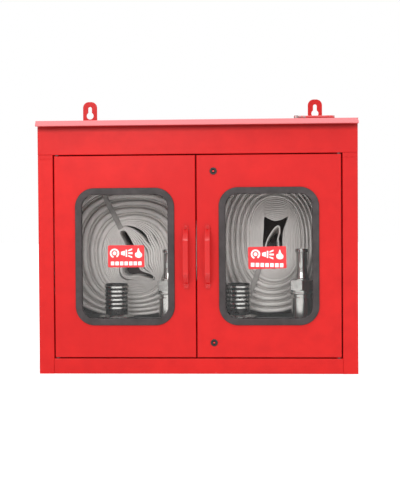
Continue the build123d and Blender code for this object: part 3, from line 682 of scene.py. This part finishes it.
def strap_mesh(name, node, inner, outer):
    """A webbing strap round one side of a rolled hose, through its hollow and over its back."""
    low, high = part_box(node)
    front, back = low.y / MM, high.y / MM
    inner, outer = np.array(inner), np.array(outer)
    reach = np.linalg.norm(outer - inner)
    along = (outer - inner) / reach
    beside = np.array([-along[1], along[0]])
    width, thickness, corner = 12.6, 1.6, 7.0
    centre_front, centre_back = front + thickness / 2, back - thickness / 2
    path = []
    corners = [
        (0, centre_front, 180),
        (reach, centre_front, 270),
        (reach, centre_back, 0),
        (0, centre_back, 90),
    ]
    for d, y, first in corners:
        inward_d = corner if d == 0 else -corner
        inward_y = corner if y == centre_front else -corner
        for angle in np.radians(np.linspace(first, first + 90, 7)):
            path.append((d + inward_d + corner * math.cos(angle), y + inward_y + corner * math.sin(angle)))
    path = smooth_closed(path, 220)[:-1]
    ahead = np.roll(path, -1, axis=0) - np.roll(path, 1, axis=0)
    ahead /= np.linalg.norm(ahead, axis=1)[:, None]
    section = [(-1, -0.6), (-0.8, -1), (0.8, -1), (1, -0.6), (1, 0.6), (0.8, 1), (-0.8, 1), (-1, 0.6)]
    rings = []
    for i, ((d, y), (dd, dy)) in enumerate(zip(path, ahead)):
        ripple = 0.35 * math.sin(i * 0.21)
        for side, lift in section:
            spread = side * width / 2 + ripple
            out = lift * thickness / 2
            x, z = inner + along * (d - dy * out) + beside * spread
            rings.append((x * MM, (y + dd * out) * MM, z * MM))
    strap = new_object(name, rings, ring_faces(len(path), len(section), closed=True))
    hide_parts(node)
    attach(strap, "cabinet")
    return strap


def add_left_hose():
    """The left roll, whose hollow is a leaning slot that the fold's tongue bends round."""
    # Measured outline, in mm. It is a scratch conversion script's output, thinned, rounded and partly moved,
    # and not drawn from driving dimensions.
    hollow = [
        (-184, 284), (-187, 302), (-199, 325), (-198, 333), (-191, 335), (-183, 328), (-171, 302),
        (-162, 273), (-160, 243), (-151, 233), (-128, 228), (-119, 222), (-124, 216), (-147, 227),
        (-164, 230), (-178, 227), (-188, 231), (-190, 242), (-184, 262),
    ]
    clock = [
        (0, -90), (0.175, -20), (0.294, 45), (0.475, 95), (0.615, 130), (0.72, 165), (0.83, 205),
        (0.87, 225), (0.947, 256), (1, 270),
    ]
    # Placed from the same script's positions of the openings between layers.
    gaps = [
        (0.27, 0.065, 5, 9.0), (0.33, 0.035, 8, 3.0), (0.375, 0.04, 3, 3.6), (0.41, 0.03, 1, 1.6),
        (0.52, 0.04, 1, 3.0), (0.50, 0.03, 3, 2.0), (0.63, 0.03, 1, 2.6), (0.85, 0.05, 1, 5.0),
    ]
    tight = ((-166, 270), (80, 90), 2.1)
    outer = ((-176, 291), (178, 170), 2.8)
    coil = Coil(hollow, clock, tight, outer, 11.4, gaps)
    fold = ([(-188, 279), (-190, 277.5), (-192.5, 279)], 1.4, (0, 0))
    parts = coil.whole((0.0, 10.95), (0.0, 9.95), fold)
    return hose_mesh("left_rolled_hose", "left_hose", *parts)


def add_right_hose():
    """The right roll, with a tall hollow and the loose fold standing in it."""
    # Measured outline, in mm. It is a scratch conversion script's output, thinned, rounded and partly moved,
    # and not drawn from driving dimensions.
    hollow = [
        (169, 246), (159, 266), (155, 299), (158, 336), (158, 364), (169, 359), (182, 353), (198, 355),
        (210, 362), (217, 366), (210, 350), (199, 326), (196, 298), (198, 272), (187, 244),
    ]
    clock = [
        (0, -172), (0.116, -115), (0.224, -80), (0.364, -28), (0.443, 5), (0.558, 38), (0.667, 62),
        (0.777, 98), (0.838, 122), (0.9455, 168), (1, 188),
    ]
    tight = ((184, 313), (61, 98), 2.3)
    outer = ((172, 296), (128, 175), 2.5)
    coil = Coil(hollow, clock, tight, outer, 12.5)
    fold_points = [
        (155, 272), (159, 267), (162, 275), (161, 292), (167, 315), (184, 341), (194, 345), (196, 330),
        (192, 316), (193, 298), (192, 276), (184, 252),
    ]
    parts = coil.whole((0.12, 11.6), (0.0, 10.9), (fold_points, 1.6, (-4, -20)))
    return hose_mesh("right_rolled_hose", "right_hose", *parts)


# --- painted details ---
def add_weld_bead(name, start, end):
    """A painted weld bead: a low row of overlapping ripples laid on the seam."""
    start, end = Vector(start), Vector(end)
    along = (end - start).normalized()
    length = (end - start).length
    count = 40
    around = 8
    height, half_width = 0.7 * MM, 1.3 * MM
    rings = []
    for i in range(count + 1):
        share = i / count
        taper = min(1.0, 6 * share + 0.25, 6 * (1 - share) + 0.25)
        ripple = taper * (1 + 0.16 * math.sin(i * 1.9) + 0.08 * math.sin(i * 0.7))
        middle = start + along * (length * share)
        for j in range(around):
            angle = 2 * math.pi * j / around
            out = height * math.sin(angle) * ripple
            up = half_width * math.cos(angle) * ripple
            rings.append(middle + Vector((0, out, up)))
    bead = new_object(name, rings, ring_faces(count + 1, around))
    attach(bead, "cabinet")
    return bead


def add_weld_beads(material):
    """The header is welded to the side walls' front flanges."""
    flange_width = 35.5 * MM
    corner_gap = 2.5 * MM
    seam_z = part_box("header_panel")[0].z
    outer_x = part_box("right_side")[1].x
    inner_x = outer_x - flange_width
    front_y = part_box("right_side")[0].y
    for side, sign in (("left", -1), ("right", 1)):
        inner_end = (sign * inner_x, front_y, seam_z)
        outer_end = (sign * (outer_x - corner_gap), front_y, seam_z)
        bead = add_weld_bead(side + "_weld_bead", inner_end, outer_end)
        bead.data.materials.append(material)


# --- sticker marks ---
def blob(points):
    """A closed smooth outline in a box one unit high."""
    return [tuple(p) for p in smooth_closed(points, 48)[:-1]]


def arc(radius, start, end, steps=40, centre=(0, 0)):
    angles = np.radians(np.linspace(start, end, steps))
    return [(centre[0] + radius * math.cos(a), centre[1] + radius * math.sin(a)) for a in angles]


def mark_shapes():
    """Generic signs, each a list of outlines in a box one unit high: hose roll, nozzle and flame."""
    roll = [arc(0.5, -60, 255) + arc(0.33, 255, -60), arc(0.2, 0, 351)]
    nozzle = [
        [(-0.62, -0.16), (-0.20, -0.27), (-0.20, 0.27), (-0.62, 0.16)],
        [(-0.12, -0.38), (0.04, -0.38), (0.04, 0.38), (-0.12, 0.38)],
        [(0.16, 0.20), (0.58, 0.34), (0.58, 0.52), (0.16, 0.34)],
        [(0.16, -0.08), (0.62, -0.10), (0.62, 0.10), (0.16, 0.08)],
        [(0.16, -0.34), (0.58, -0.52), (0.58, -0.34), (0.16, -0.20)],
    ]
    right_edge = [(-0.02, 0.58), (0.10, 0.24), (0.22, 0.08), (0.38, -0.12), (0.32, -0.40), (0, -0.52)]
    left_edge = [(-0.34, -0.38), (-0.40, -0.06), (-0.24, 0.10), (-0.16, 0.02), (-0.14, 0.28)]
    flame = [blob([*right_edge, *left_edge])]
    return [roll, nozzle, flame]


def add_marks(name, node, door, tilt, material):
    """White printed signs on a sticker: a row of three signs over a row of bars, with no letters."""
    low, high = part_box(node)
    middle = (low + high) / 2
    width, height = (high.x - low.x) / MM, (high.z - low.z) / MM
    shapes = []
    sign_places = (-27.5, 1.5, 29.5)
    sign_heights = (22.0, 22.0, 21.0)
    for outlines, x, size in zip(mark_shapes(), sign_places, sign_heights):
        for outline in outlines:
            shapes.append([(x + u * size, height * 0.14 + v * size) for u, v in outline])
    bars = 7
    for i in range(bars):
        x = (i - (bars - 1) / 2) * width * 0.125
        half_bar, half_tall = width * 0.046, height * 0.085
        y = -height * 0.32
        corner_signs = ((-1, -1), (1, -1), (1, 1), (-1, 1))
        shapes.append([(x + u * half_bar, y + v * half_tall) for u, v in corner_signs])
    build = bmesh.new()
    front = low.y - 0.12 * MM
    turn = math.radians(tilt)
    for shape in shapes:
        corners = []
        for u, v in shape:
            x = u * math.cos(turn) - v * math.sin(turn)
            z = u * math.sin(turn) + v * math.cos(turn)
            corners.append(build.verts.new((middle.x + x * MM, front, middle.z + z * MM)))
        face = build.faces.new(corners)
        made = bmesh.ops.extrude_face_region(build, geom=[face])
        moved = [v for v in made["geom"] if isinstance(v, bmesh.types.BMVert)]
        bmesh.ops.translate(build, verts=moved, vec=(0, 0.1 * MM, 0))
    bmesh.ops.triangulate(build, faces=build.faces)
    bmesh.ops.recalc_face_normals(build, faces=build.faces)
    mesh = bpy.data.meshes.new(name)
    build.to_mesh(mesh)
    build.free()
    marks = bpy.data.objects.new(name, mesh)
    bpy.context.scene.collection.objects.link(marks)
    mesh.materials.append(material)
    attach(marks, door)


# --- putting it together ---
def paint(material, *names):
    """Gives CAD nodes a material, without changing their meshes."""
    for name in names:
        slots = nodes[name].data.materials
        slots.clear()
        slots.append(material)


def both(pattern):
    return [pattern.format(side) for side in ("left", "right")]


def dress():
    """Every visible CAD node gets its material."""
    enamel = red_enamel("red_enamel", 0.2, 0.36, 0.48)
    handled = red_enamel("handle_enamel", 0.5, 0.16, 0.26)
    zinc = zinc_plate()
    nylon = moulded_plastic("nylon", (0.10, 0.09, 0.085, 1), 0.4, 0.55)
    buffer_rubber = dark_rubber("buffer_rubber", (0.014, 0.013, 0.013, 1), (0.03, 0.028, 0.028, 1))
    gasket_rubber = dark_rubber("gasket_rubber", (0.026, 0.021, 0.021, 1), (0.05, 0.041, 0.042, 1), 0.3)
    plastic = moulded_plastic("black_plastic", (0.022, 0.022, 0.023, 1), 0.34, 0.5)
    lock_black = moulded_plastic("lock_black", (0.006, 0.0055, 0.0055, 1), 0.3, 0.42)
    insert = lock_insert()
    middles = [middle_of(name) for name in both("{}_coupling_upper")]
    groove_floor, rib_face = 27.0 * MM, 29.2 * MM
    grooves = ([(m.x, m.y) for m in middles], groove_floor, rib_face)
    greased, bright = (0.36, 0.34, 0.33, 1), (0.68, 0.66, 0.64, 1)
    coupling = turned_alloy("coupling_alloy", greased, bright, 0.2, 0.32, grooves)
    branch = turned_alloy("branch_alloy", (0.40, 0.38, 0.37, 1), (0.60, 0.58, 0.56, 1), 0.16, 0.3)
    film = printed_film("sticker_red", (0.66, 0.022, 0.028, 1))
    shell = ["back_panel", "left_side", "right_side", "floor_pan", "header_panel", "canopy", "hanging_lugs"]
    paint(enamel, *shell, *both("{}_door_pan"), "hinge_pins")
    paint(handled, *both("{}_handle"), *both("{}_handle_screws"))
    paint(zinc, "lug_rivets", "lock_nuts", "catch_keeper", *both("{}_handle_nuts"))
    paint(zinc, "top_lock_cam", "bottom_lock_cam", "top_cam_screw", "bottom_cam_screw")
    paint(nylon, *both("{}_bushes"))
    paint(buffer_rubber, "door_buffers", *both("{}_coupling_seal"))
    paint(gasket_rubber, *both("{}_gasket"))
    # The hose shelf's black is painted shade: a dark part standing in for the shade under the rolled hoses.
    paint(plastic, "door_catch", "hinge_washers", "hose_shelf")
    paint(lock_black, "lock_housings")
    paint(insert, "top_lock_rotor", "bottom_lock_rotor")
    paint(window_glass(), *both("{}_glass"))
    paint(film, *both("{}_sticker"))
    paint(coupling, *both("{}_coupling_lower"), *both("{}_coupling_upper"))
    branch_pieces = ("inlet", "barrel", "ring", "hexagon", "nozzle")
    paint(branch, *[f"{side}_branch_{piece}" for side in ("left", "right") for piece in branch_pieces])
    paint(key_steel(), "lock_key")
    return enamel


add_camera()
add_studio()
enamel = dress()
jacket = hose_jacket()
for hose in (add_left_hose(), add_right_hose()):
    hose.data.materials.append(jacket)
webbing = strap_webbing()
straps = [
    strap_mesh("left_hose_strap", "left_strap", (-198.0, 341.0), (-255.5, 457.0)),
    strap_mesh("right_hose_strap", "right_strap", (160.0, 282.0), (105.0, 133.0)),
]
for strap in straps:
    strap.data.materials.append(webbing)
add_weld_beads(enamel)
white = printed_film("white_print", (0.86, 0.86, 0.85, 1))
add_marks("left_sticker_marks", "left_sticker", "left_door", 0.0, white)
add_marks("right_sticker_marks", "right_sticker", "right_door", -1.3, white)
